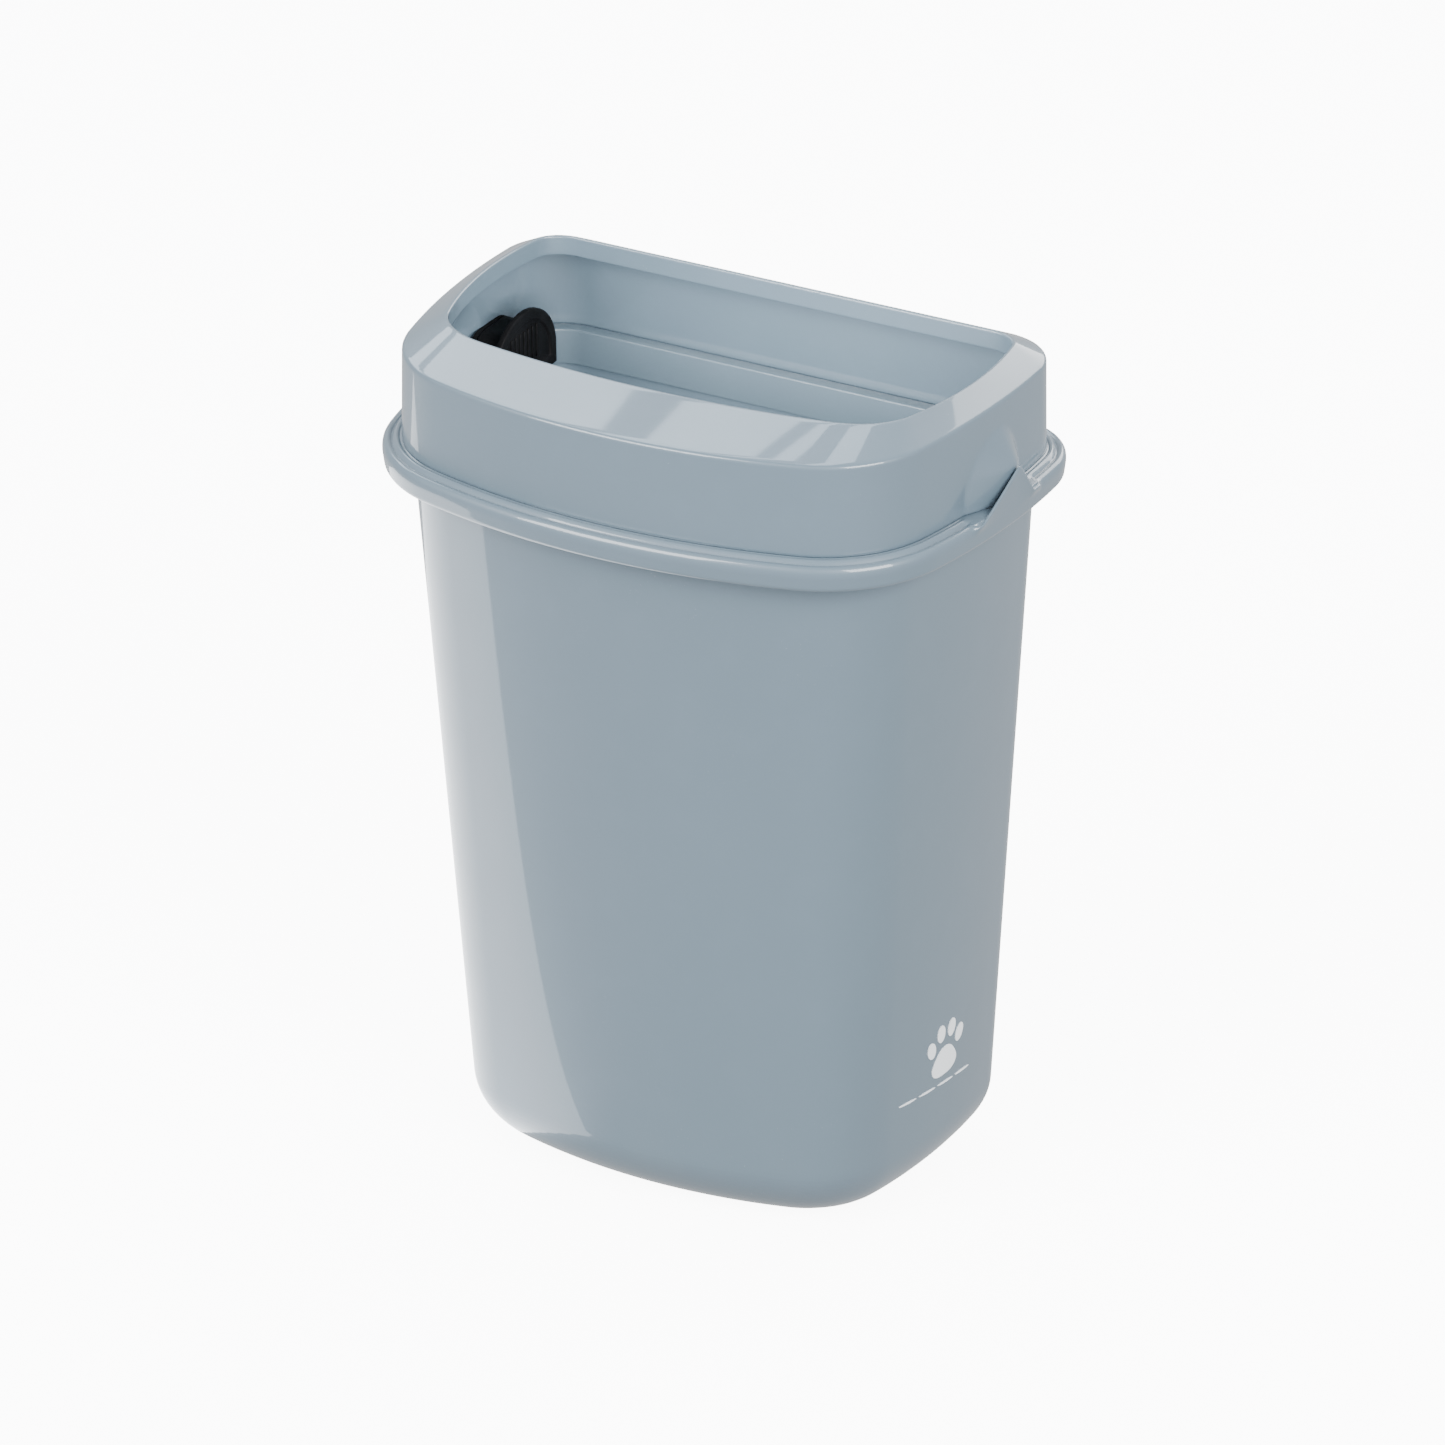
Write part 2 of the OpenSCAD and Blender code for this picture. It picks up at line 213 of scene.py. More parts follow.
# ---- Meshes ----
def piece(name, verts, faces, slot, body, smooth=True):
    """A finished piece at the origin, with its slot and body."""
    mesh = bpy.data.meshes.new(name)
    mesh.from_pydata([tuple(v) for v in np.asarray(verts) * MM], [], faces)
    return finished(name, mesh, slot, body, smooth)


def finished(name, mesh, slot, body, smooth=True):
    bm = bmesh.new()
    bm.from_mesh(mesh)
    bmesh.ops.remove_doubles(bm, verts=bm.verts, dist=1e-6)
    bmesh.ops.recalc_face_normals(bm, faces=bm.faces)
    bm.to_mesh(mesh)
    bm.free()
    mesh.polygons.foreach_set("use_smooth", [smooth] * len(mesh.polygons))
    mesh.validate()
    mesh.update()
    obj = bpy.data.objects.new(name, mesh)
    bpy.context.scene.collection.objects.link(obj)
    mesh.materials.append(MATERIALS[slot])
    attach(obj, body)
    return obj


def skin(rows, closed, first_cap=False, last_cap=False):
    """Vertices and quads of rows joined in order."""
    columns = len(rows[0])
    verts = np.vstack(rows)
    faces = []
    for i in range(len(rows) if closed else len(rows) - 1):
        low, high = i * columns, (i + 1) % len(rows) * columns
        faces += [
            (low + j, low + (j + 1) % columns, high + (j + 1) % columns, high + j) for j in range(columns)
        ]
    if first_cap:
        faces.append(tuple(range(columns))[::-1])
    if last_cap:
        faces.append(tuple((len(rows) - 1) * columns + j for j in range(columns)))
    return verts, faces


def shell_rows(rows, closed):
    return supported(rounded(rows, closed), closed)


def cap_rows(row, rings=8):
    """Rows that close a flat end evenly, down to a small middle loop."""
    middle = row.mean(axis=0)
    return [middle + (row - middle) * (1 - k / rings) for k in range(1, rings)]


# ---- Materials ----
class Value:
    """A socket that adds Math nodes when it is used in an expression."""

    def __init__(self, tree, socket):
        self.tree, self.socket = tree, socket

    def _math(self, operation, a, b):
        return self.tree.node("ShaderNodeMath", {"operation": operation}, [a, b])

    def __add__(self, other):
        return self._math("ADD", self, other)

    def __mul__(self, other):
        return self._math("MULTIPLY", self, other)

    __radd__, __rmul__ = __add__, __mul__


class Finish:
    """One material's node tree, and the patterns that the finishes share."""

    def __init__(self, name, rough, metallic=0.0):
        self.material = bpy.data.materials.new(name)
        self.material.use_nodes = True
        self.nodes, self.links = self.material.node_tree.nodes, self.material.node_tree.links
        self.shader = self.nodes["Principled BSDF"]
        self.shader.inputs["Roughness"].default_value = rough
        self.shader.inputs["Metallic"].default_value = metallic
        self.place = self.node("ShaderNodeTexCoord", output="Object")

    def node(self, kind, settings=(), inputs=(), output=0):
        """Adds a node: its settings first, then the values or links of its sockets."""
        made = self.nodes.new(kind)
        for key, value in dict(settings).items():
            setattr(made, key, value)
        pairs = inputs.items() if isinstance(inputs, dict) else enumerate(inputs)
        for key, value in pairs:
            if isinstance(value, Value):
                self.links.new(value.socket, made.inputs[key])
            else:
                made.inputs[key].default_value = value
        return Value(self, made.outputs[output])

    def noise(self, scale, detail=2.0, stretch=(1, 1, 1)):
        place = self.node("ShaderNodeMapping", {}, {"Vector": self.place, "Scale": stretch})
        return self.node("ShaderNodeTexNoise", {}, {"Vector": place, "Scale": scale, "Detail": detail})

    def range(self, value, low, high):
        """A soft step, 0 at low and 1 at high."""
        sizes = {"Value": value, "From Min": low, "From Max": high}
        return self.node("ShaderNodeMapRange", {"interpolation_type": "SMOOTHSTEP"}, sizes)

    def axis(self, name):
        return self.node("ShaderNodeSeparateXYZ", {}, {"Vector": self.place}, output=name)

    def mix(self, share, a, b):
        settings = {"data_type": "RGBA"}
        return self.node("ShaderNodeMix", settings, {0: share, 6: a, 7: b}, output=2)

    def bump(self, height, distance, strength=1.0, under=None):
        inputs = {"Height": height, "Distance": distance, "Strength": strength}
        if under is not None:
            inputs["Normal"] = under
        return self.node("ShaderNodeBump", {}, inputs)

    def feed(self, **links):
        for key, value in links.items():
            self.links.new(value.socket, self.shader.inputs[key.replace("_", " ")])
        return self.material


def tone(red, green, blue):
    return (red, green, blue, 1.0)


def moulded_plastic(name, colour, rough, dust=1.0, coat=0.8):
    """Glossy injection moulding: faint flow marks, fine orange peel and a little dust."""
    f = Finish(name, rough)
    f.shader.inputs["IOR"].default_value = 1.5
    f.shader.inputs["Coat Weight"].default_value = coat
    f.shader.inputs["Coat Roughness"].default_value = 0.04
    flow = f.noise(5, 4, (1, 1, 0.35))
    mottle = f.noise(38, 3)
    shade = [c * 0.955 for c in colour]
    base = f.mix(f.range(flow, 0.3, 0.7), tone(*shade), tone(*colour))
    base = f.mix(f.range(mottle, 0.45, 0.75) * 0.3, base, tone(*[c * 1.05 for c in colour]))
    height = f.axis("Z")
    low = f.range(height, 0.09, 0.0)
    grime = low * f.range(f.noise(26, 6), 0.42, 0.72)
    base = f.mix(grime * (0.06 * dust), base, tone(0.24, 0.245, 0.23))
    specks = f.range(f.noise(900, 1), 0.74, 0.8) * f.range(f.noise(14, 2), 0.5, 0.7)
    base = f.mix(specks * (0.22 * dust), base, tone(0.55, 0.57, 0.57))
    uneven = f.range(f.noise(17, 5), 0.25, 0.8)
    roughness = uneven * 0.07 + (rough - 0.035) + grime * 0.06 + specks * 0.1
    return f.feed(Base_Color=base, Roughness=roughness, Normal=f.bump(f.noise(420, 2), 0.00003, 0.4))


def grained_plastic(name, colour, rough):
    """Black spark-textured moulding with polished high spots."""
    f = Finish(name, rough)
    f.shader.inputs["Specular IOR Level"].default_value = 0.12
    grain = f.noise(1500, 3)
    cloud = f.noise(60, 3)
    base = f.mix(f.range(cloud, 0.3, 0.75), tone(*colour), tone(*[c * 1.7 + 0.002 for c in colour]))
    dust = f.range(f.noise(700, 2), 0.66, 0.78) * f.range(cloud, 0.45, 0.7)
    base = f.mix(dust * 0.03, base, tone(0.2, 0.2, 0.2))
    roughness = f.range(grain, 0.35, 0.65) * 0.18 + (rough - 0.08) + dust * 0.2
    return f.feed(Base_Color=base, Roughness=roughness, Normal=f.bump(grain, 0.00012, 0.7))


def felt(name, colour):
    """Matted carbon felt: crossed fibres over soft lumps."""
    f = Finish(name, 0.95)
    f.shader.inputs["Sheen Weight"].default_value = 0.35
    fibres = f.noise(900, 4, (1, 0.12, 1)) * 0.5 + f.noise(900, 4, (0.12, 1, 1)) * 0.5
    lumps = f.noise(120, 3)
    base = f.mix(f.range(fibres, 0.35, 0.65), tone(*colour), tone(*[c * 3 for c in colour]))
    base = f.mix(f.range(lumps, 0.55, 0.75) * 0.4, base, tone(0.09, 0.09, 0.092))
    normal = f.bump(fibres, 0.0004, 0.9, f.bump(lumps, 0.0008, 0.5))
    return f.feed(Base_Color=base, Roughness=f.range(fibres, 0.2, 0.8) * 0.15 + 0.82, Normal=normal)


def turned_steel(name, colour):
    """Stainless steel with fine turning marks and a little tarnish."""
    f = Finish(name, 0.3, metallic=1.0)
    turning = f.noise(2600, 2, (0.1, 1, 0.1))
    tarnish = f.noise(150, 4)
    base = f.mix(f.range(tarnish, 0.5, 0.8), tone(*colour), tone(*[c * 0.72 for c in colour]))
    scratches = f.range(f.noise(700, 3, (1, 0.2, 3)), 0.62, 0.7)
    roughness = f.range(turning, 0.3, 0.7) * 0.14 + 0.22 + f.range(tarnish, 0.5, 0.8) * 0.16 + scratches * 0.1
    return f.feed(Base_Color=base, Roughness=roughness, Normal=f.bump(turning, 0.00003, 0.6))


def screen_print(name, colour):
    """White print with pinholes and softly rubbed patches."""
    f = Finish(name, 0.42)
    pinholes = f.range(f.noise(1400, 2), 0.7, 0.76)
    rubbed = f.range(f.noise(70, 5), 0.56, 0.8)
    base = f.mix(rubbed * 0.35, tone(*colour), tone(0.6, 0.65, 0.69))
    base = f.mix(pinholes * 0.5, base, tone(0.38, 0.44, 0.49))
    roughness = rubbed * 0.15 + 0.36 + pinholes * 0.12
    return f.feed(Base_Color=base, Roughness=roughness, Normal=f.bump(f.noise(900, 2), 0.00003, 0.5))


def pale_floor(name):
    f = Finish(name, 0.9)
    base = f.mix(f.range(f.noise(2, 3), 0.3, 0.7), tone(0.93, 0.935, 0.94), tone(0.95, 0.955, 0.96))
    f.shader.inputs["Emission Color"].default_value = (1, 1, 1, 1)
    f.shader.inputs["Emission Strength"].default_value = 9
    return f.feed(Base_Color=base)


MATERIALS = {
    "bin_plastic": moulded_plastic("bin_plastic", (0.106, 0.151, 0.190), 0.42, coat=1),
    "ring_plastic": moulded_plastic("ring_plastic", (0.098, 0.140, 0.174), 0.46, 0.4, 0.3),
    "black_plastic": grained_plastic("black_plastic", (0.001, 0.001, 0.0013), 0.62),
    "carbon_felt": felt("carbon_felt", (0.012, 0.012, 0.013)),
    "steel": turned_steel("steel", (0.56, 0.57, 0.58)),
    "white_print": screen_print("white_print", (0.82, 0.85, 0.87)),
}


# ---- Geometry Nodes ----
def geometry_tree(name, inputs):
    """A tree with a geometry input, named inputs for its sizes, and a geometry output."""
    tree = bpy.data.node_groups.new(name, "GeometryNodeTree")
    tree.interface.new_socket("Geometry", in_out="INPUT", socket_type="NodeSocketGeometry")
    for label, kind in inputs:
        tree.interface.new_socket(label, in_out="INPUT", socket_type=kind)
    tree.interface.new_socket("Geometry", in_out="OUTPUT", socket_type="NodeSocketGeometry")
    return tree, tree.nodes.new("NodeGroupInput"), tree.nodes.new("NodeGroupOutput")


def run_tree(tree, obj, name, slot, body, values):
    """Runs a tree on obj, and returns its result as a plain finished piece."""
    modifier = obj.modifiers.new("make", "NODES")
    modifier.node_group = tree
    for item in tree.interface.items_tree:
        if item.in_out == "INPUT" and item.name in values:
            modifier[item.identifier] = values[item.name]
    bpy.context.view_layer.update()
    graph = bpy.context.evaluated_depsgraph_get()
    mesh = bpy.data.meshes.new_from_object(obj.evaluated_get(graph))
    bpy.data.objects.remove(obj)
    mesh.materials.clear()
    mesh.name = name
    return finished(name, mesh, slot, body)


def helper(name, verts, faces=()):
    """A mesh object that only feeds a tree."""
    mesh = bpy.data.meshes.new(name)
    mesh.from_pydata([tuple(v) for v in np.asarray(verts, dtype=float) * MM], [], list(faces))
    obj = bpy.data.objects.new(name, mesh)
    bpy.context.scene.collection.objects.link(obj)
    return obj


def end_tree(tree, given, result, geometry):
    """Realizes what the tree made, gives it its material and hands it out."""
    real = tree.nodes.new("GeometryNodeRealizeInstances")
    paint = tree.nodes.new("GeometryNodeSetMaterial")
    tree.links.new(geometry, real.inputs[0])
    tree.links.new(real.outputs[0], paint.inputs["Geometry"])
    tree.links.new(given.outputs["Material"], paint.inputs["Material"])
    tree.links.new(paint.outputs[0], result.inputs[0])


def repeated(name, shape, places, slot, body):
    """The same small shape at each place, by Geometry Nodes."""
    inputs = (("Shape", "NodeSocketObject"), ("Material", "NodeSocketMaterial"))
    tree, given, result = geometry_tree(name, inputs)
    info = tree.nodes.new("GeometryNodeObjectInfo")
    copies = tree.nodes.new("GeometryNodeInstanceOnPoints")
    tree.links.new(given.outputs["Shape"], info.inputs["Object"])
    tree.links.new(given.outputs["Geometry"], copies.inputs["Points"])
    tree.links.new(info.outputs["Geometry"], copies.inputs["Instance"])
    end_tree(tree, given, result, copies.outputs[0])
    points = helper(name + "_places", places)
    values = {"Shape": shape, "Material": MATERIALS[slot]}
    made = run_tree(tree, points, name, slot, body, values)
    bpy.data.objects.remove(shape)
    return made


def swept(name, path, profile, slot, body):
    """A closed profile swept along a closed flat path, by Geometry Nodes."""
    curve = bpy.data.curves.new(name + "_profile", "CURVE")
    spline = curve.splines.new("POLY")
    spline.points.add(len(profile) - 1)
    for point, (x, y) in zip(spline.points, profile):
        point.co = (x * MM, y * MM, 0, 1)
    spline.use_cyclic_u = True
    section = bpy.data.objects.new(name + "_profile", curve)
    bpy.context.scene.collection.objects.link(section)
    inputs = (("Section", "NodeSocketObject"), ("Material", "NodeSocketMaterial"))
    tree, given, result = geometry_tree(name, inputs)
    info = tree.nodes.new("GeometryNodeObjectInfo")
    to_curve = tree.nodes.new("GeometryNodeMeshToCurve")
    upright = tree.nodes.new("GeometryNodeSetCurveNormal")
    upright.mode = "Z_UP"
    sweep = tree.nodes.new("GeometryNodeCurveToMesh")
    join = tree.links.new
    join(given.outputs["Section"], info.inputs["Object"])
    join(given.outputs["Geometry"], to_curve.inputs["Mesh"])
    join(to_curve.outputs[0], upright.inputs["Curve"])
    join(upright.outputs[0], sweep.inputs["Curve"])
    join(info.outputs["Geometry"], sweep.inputs["Profile Curve"])
    end_tree(tree, given, result, sweep.outputs[0])
    loop = helper(name + "_path", path)
    loop.data.edges.add(len(path))
    ends = [v for i in range(len(path)) for v in (i, (i + 1) % len(path))]
    loop.data.edges.foreach_set("vertices", ends)
    values = {"Section": section, "Material": MATERIALS[slot]}
    made = run_tree(tree, loop, name, slot, body, values)
    bpy.data.objects.remove(section)
    return made


def turned(name, profile, sides=48):
    """A closed profile of (radius, along) turned round the Y axis, as a helper object."""
    a = np.linspace(0, 2 * math.pi, sides, endpoint=False)
    rows = [
        np.column_stack([radius * np.sin(a), np.full(sides, along), radius * np.cos(a)])
        for radius, along in profile
    ]
    verts, faces = skin(rows, closed=True)
    return helper(name, verts, faces)


# ---- Tub ----
BOLT_HOLE_R, BOLT_HOLE_DEEP = BUSH_R + 0.2, 40


def make_tub():
    """Outer base, wall, skirt, ridged rim with its ears, shelf, then the inner wall and base."""
    wall, inner = -TUB_INSET, -TUB_INSET - TUB_T
    reach, top = RIM_REACH, SHELF_Z
    outer_base = base_rows(wall, BASE_R, 0, np.linspace(0, 90, 19))
    inner_base = base_rows(inner, BASE_R - TUB_T, TUB_T, np.linspace(90, 0, 19))
    rows = [(row, 0) for row in outer_base]
    rows += [
        (tub_row(wall, DRAFT_Z), 2.5),
        (tub_row(reach - 4.4, DRAFT_Z + 2.6), 2),
        (tub_row(reach - 4, top - 18), 0.6),
        (tub_row(reach - 2.2, top - 19.2), 1),
        (tub_row(reach - 0.9, top - 17), 1.2),
        (tub_row(reach, top - 8), 2),
        (rim_row(reach - 0.3, top - 4.6, reach + EAR_OUT, top - 3, EAR_RISE), 1.4),
        (rim_row(reach - 1.4, top - 2.6, reach + EAR_OUT - 1, top - 2, EAR_RISE + 0.8), 1),
        (rim_row(reach - 3.2, top - 1.4, reach + EAR_OUT - 2, top - 2.2, EAR_RISE), 0.9),
        (rim_row(reach - 5, top - 1.7, reach + EAR_OUT - 2.2, top - 0.2, 0), 0.7),
        (rim_row(reach - 6.3, top - 2.7, reach - 5, top, 0), 0.4),
        (rim_row(reach - 7.6, top - 1, reach - 7, top, 0), 0.7),
        (rim_row(reach - 9.2, top + 0.6, reach - 9.2, top, 0), 0.8),
        (rim_row(reach - 10.8, top + 0.3, reach - 10.8, top, 0), 0.5),
        (rim_row(reach - 11.8, top - 0.4, reach - 11.8, top, 0), 0.2),
        (tub_row(reach - 12.2, top), 0),
        (tub_row(inner, top), 1.2),
    ]
    rows += [(row, 0) for row in inner_base]
    rows = shell_rows(rows, closed=False)
    rows = cap_rows(rows[0])[::-1] + rows + cap_rows(rows[-1])
    verts, faces = skin(rows, closed=False, first_cap=True, last_cap=True)
    tub = piece("tub_moulding", verts, faces, "bin_plastic", "tub")
    cutter = helper("bolt_holes", [(0, 0, 0)])
    radius, depth = BOLT_HOLE_R * MM, BOLT_HOLE_DEEP * MM
    for x, _, z in FIXING_PLACES:
        bm = bmesh.new()
        bm.from_mesh(cutter.data)
        turn = Matrix.Translation(Vector((x, BACK_Y, z)) * MM) @ Matrix.Rotation(math.pi / 2, 4, "X")
        bmesh.ops.create_cone(
            bm, cap_ends=True, segments=48, radius1=radius, radius2=radius, depth=depth, matrix=turn
        )
        bm.to_mesh(cutter.data)
        bm.free()
    hole = tub.modifiers.new("holes", "BOOLEAN")
    hole.operation, hole.solver, hole.object = "DIFFERENCE", "EXACT", cutter
    graph = bpy.context.evaluated_depsgraph_get()
    tub.data = bpy.data.meshes.new_from_object(tub.evaluated_get(graph))
    tub.modifiers.remove(hole)
    bpy.data.objects.remove(cutter)
    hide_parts("tub")
    return tub


def make_bosses():
    """Two hollow bosses on the back, each with a swept foot and a rounded mouth."""
    wall = BACK_Y - 1.5
    profile = [(5.15, wall), (BOSS_R + 5, wall + 0.4), (BOSS_R + 3, wall + 2), (BOSS_R + 1, wall + 4.2)]
    profile += [(BOSS_R, wall + 8), (BOSS_R, REAR_Y - 1.2), (BOSS_R - 0.35, REAR_Y - 0.35)]
    profile += [(BOSS_R - 1.2, REAR_Y), (6.4, REAR_Y), (5.6, REAR_Y - 0.35), (5.15, REAR_Y - 1.2)]
    shape = turned("boss_shape", profile)
    return repeated("fixing_bosses", shape, FIXING_PLACES, "bin_plastic", "tub")


def make_bushes():
    """Two steel bushes in the bosses, each with a flange inside the tub."""
    inner = BACK_Y - TUB_T
    profile = [(BUSH_HOLE_R, inner - 1.2), (BUSH_HOLE_R + 0.5, inner - 1.6), (10.4, inner - 1.6)]
    profile += [(11, inner - 1.1), (11, inner - 0.1), (BUSH_R, inner - 0.1), (BUSH_R, REAR_Y - 0.5)]
    profile += [(BUSH_R - 0.4, REAR_Y), (BUSH_HOLE_R + 0.4, REAR_Y), (BUSH_HOLE_R, REAR_Y - 0.5)]
    shape = turned("bush_shape", profile)
    bushes = repeated("steel_bushes", shape, FIXING_PLACES, "steel", "tub")
    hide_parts("fixing_bushes")
    return bushes


# ---- Printed mark ----
MARK_Y, MARK_Z = 28, 102
PALM_RADII, TOE_RADII = (14.5, 11), (4.6, 6.6)
TOES = ((-17, 9, 20), (-6.4, 17.5, 6), (6.4, 17.5, -6), (17, 9, -20))  # along, up, lean in degrees
DASH_LENGTH, DASH_H, DASH_PITCH, DASH_FALL = 19, 1.6, 22, math.radians(4)
PRINT_FACE, PRINT_BACK = 0.42, -0.15  # proud of the wall, and sunk into it


def side_x(y, z):
    """Where the tub's right wall stands at a place."""
    row = tub_row(-TUB_INSET, z)
    right = row[(row[:, 0] > 0) & ON_SIDE]
    right = right[np.argsort(right[:, 1])]
    return float(np.interp(y, right[:, 1], right[:, 0]))


def print_patch(middle, radii, turn, verts, faces, wave=0.0, rings=5, around=56):
    """A filled print shape on the side wall: an ellipse whose edge may wave in three lobes."""
    start, behind = len(verts), rings * around
    for lift in (PRINT_FACE, PRINT_BACK):
        for ring in range(1, rings + 1):
            for k in range(around):
                a = 2 * math.pi * k / around
                r = ring / rings * (1 + wave * math.cos(3 * a + math.pi / 2))
                along, up = radii[0] * r * math.cos(a), radii[1] * r * math.sin(a)
                y = middle[0] + along * math.cos(turn) - up * math.sin(turn)
                z = middle[1] + along * math.sin(turn) + up * math.cos(turn)
                verts.append((side_x(y, z) + lift, y, z))
    for ring in range(rings - 1):
        for k in range(around):
            a, b = start + ring * around + k, start + ring * around + (k + 1) % around
            faces.append((a, b, b + around, a + around))
            faces.append((a + behind, a + around + behind, b + around + behind, b + behind))
    for k in range(around):
        a, b = start + (rings - 1) * around + k, start + (rings - 1) * around + (k + 1) % around
        faces.append((a, b, b + behind, a + behind))
    faces.append(tuple(start + k for k in range(around)))
    faces.append(tuple(start + behind + k for k in range(around))[::-1])


def make_mark():
    """A plain paw over a dashed rule."""
    verts, faces = [], []
    print_patch((MARK_Y, MARK_Z - 6), PALM_RADII, 0, verts, faces, wave=0.09)
    for along, up, lean in TOES:
        print_patch((MARK_Y + along, MARK_Z + up), TOE_RADII, math.radians(lean), verts, faces)
    for k in (-1.5, -0.5, 0.5, 1.5):
        middle = (MARK_Y - 8 + k * DASH_PITCH, MARK_Z - 22 - k * DASH_PITCH * math.tan(DASH_FALL))
        print_patch(middle, (DASH_LENGTH / 2, DASH_H / 2), -DASH_FALL, verts, faces)
    mark = piece("paw_print", verts, faces, "white_print", "tub", smooth=False)
    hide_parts("printed_mark")
    return mark


# ---- Liner ring ----
RING_FLANGE_T, RING_SKIRT_T, RING_DROP = 2.0, 2.0, 23.6


def make_ring():
    """An angle section swept round the mouth: a flat flange on the shelf and a skirt in the tub."""
    outer, inner = -HOOD_T - 1.3, -TUB_INSET - TUB_T - 1.7
    low, high, hem = FOOT_Z, FOOT_Z + RING_FLANGE_T, FOOT_Z - RING_DROP
    wall = inner - RING_SKIRT_T
    corners = [(outer, low, 0.8), (outer, high, 0.8), (wall, high, 1.6)]
    corners += [(wall, hem, 0.9), (inner, hem, 0.9), (inner, low, 0.4)]
    rows = [(np.array([[x, y, 0.0]]), r) for x, y, r in corners]
    profile = [(float(row[0, 0]), -float(row[0, 1])) for row in rounded(rows, closed=True)]
    path = row3(SHOULDER, 0)
    ring = swept("liner_ring", path, profile, "ring_plastic", "ring")
    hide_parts("bag_ring")
    return ring


# ---- Hood ----
def make_hood():
    """Outer wall, top, turned-down lip, the top's underside, then the inner wall."""
    steps = list(np.linspace(0, GRIP_H, 24))

    def reach(h):
        return 1 - h / HOOD_WALL_H

    rows = [(wall_row(reach(0) - 0.35, FOOT_Z), 0), (wall_row(reach(0), FOOT_Z + 0.5), 0)]
    rows += [(wall_row(reach(h), FOOT_Z + h), 0) for h in steps[1:]]
    rows += [
        (band_row(0, 0, SHOULDER_Z), 2.2),
        (band_row(1, 1.6, TOP_Z), 1.2),
        (band_row(1, 0, TOP_Z - 0.6), 0.8),
        (band_row(1, 0.4, TOP_Z - LIP_H), 0.8),
        (band_row(1, 2.8, TOP_Z - LIP_H), 0.8),
        (band_row(1, 3.6, TOP_Z - HOOD_T - 0.6), 1.5),
        (band_row(0.5, 0, SHOULDER_Z + BAND_RISE * 0.5 - HOOD_T), 0),
        (band_row(0, -HOOD_T, SHOULDER_Z - HOOD_T), 3),
    ]
    rows += [(wall_row(reach(h) - HOOD_T, FOOT_Z + h), 0) for h in steps[:0:-1]]
    rows += [(wall_row(reach(0) - HOOD_T, FOOT_Z + 0.5), 0), (wall_row(reach(0) - HOOD_T + 0.35, FOOT_Z), 0)]
    verts, faces = skin(shell_rows(rows, closed=True), closed=True)
    hood = piece("hood_moulding", verts, faces, "bin_plastic", "hood")
    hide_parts("lid_hood")
    return hood


# ---- Odour cartridge ----
CART_Y, CART_LOW, CART_H, CART_R = (39, 93), FOOT_Z + 3.2, 17, 16.5
FACE_W, FACE_DROP, FACE_STRAIGHT_H, FACE_ROUND_H, FACE_T = 84, 22, 13, 39, 4
WALL_X = -HOOD_W / 2 + HOOD_T - 0.9
COVER_X = (WALL_X + 3.6, -170)
COVER_T = 2.2
FACE_BORDER, PANEL_SUNK = 7.5, 1.2
LOUVRES, LOUVRE_PITCH, LOUVRE_H, LOUVRE_R = 7, 5.5, 24, 0.9
SCREW_INSET, SCREW_UP = 12, 6


def arch_row(x, width, low, high, radius, steps=14):
    """Points of an upright arch-topped outline at x, its foot first."""
    half, mid = width / 2, sum(CART_Y) / 2
    points = [(mid - half, low)]
    for side in (-1, 1):
        for k in range(steps + 1):
            a = math.radians(90 * k / steps)
            turn = a if side < 0 else math.pi / 2 - a
            y = mid + side * (half - radius + radius * math.cos(turn))
            points.append((y, high - radius + radius * math.sin(turn)))
    points.append((mid + half, low))
    points = np.array(points)
    flat = np.linalg.norm(points - np.roll(points, -1, axis=0), axis=1) > 3
    dense = []
    for point, after, long in zip(points, np.roll(points, -1, axis=0), flat):
        parts = 16 if long else 1
        dense += [point + (after - point) * k / parts for k in range(parts)]
    return np.insert(np.array(dense), 0, x, axis=1)


def make_cover():
    """A thin arch-topped box, open to the wall and below."""
    width, high = CART_Y[1] - CART_Y[0], CART_LOW + CART_H
    near, far = COVER_X[0], COVER_X[1] - FACE_T / 2

    def ring(x, inset):
        return arch_row(x, width - 2 * inset, CART_LOW, high - inset, CART_R - inset)

    rows = [(ring(far, COVER_T), 0), (ring(far, 0), 0.4), (ring(near, 0), 0.6)]
    rows += [(ring(near, COVER_T), 0.6), (ring(far, COVER_T), 0)]
    verts, faces = skin(shell_rows(rows, closed=False), closed=False)
    box = piece("cartridge_cap", verts, faces, "black_plastic", "cartridge")
    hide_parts("cartridge_cover")
    return box


def face_outline(x, inset, steps=44):
    """Points of the face plate's round-topped outline at x, its flat foot last."""
    half, mid = FACE_W / 2 - inset, sum(CART_Y) / 2
    foot = CART_LOW - FACE_DROP
    spring = foot + FACE_STRAIGHT_H
    up = np.linspace(foot + inset, spring, 5)
    turns = np.linspace(0, math.pi, steps)[1:-1]
    arc = np.column_stack([mid - half * np.cos(turns), spring + (FACE_ROUND_H - inset) * np.sin(turns)])
    left = np.column_stack([np.full(5, mid - half), up])
    right = np.column_stack([np.full(5, mid + half), up[::-1]])
    base = right[-1] + (left[0] - right[-1]) * (np.arange(1, 24) / 24)[:, None]
    return np.insert(np.vstack([left, arc, right, base]), 0, x, axis=1)


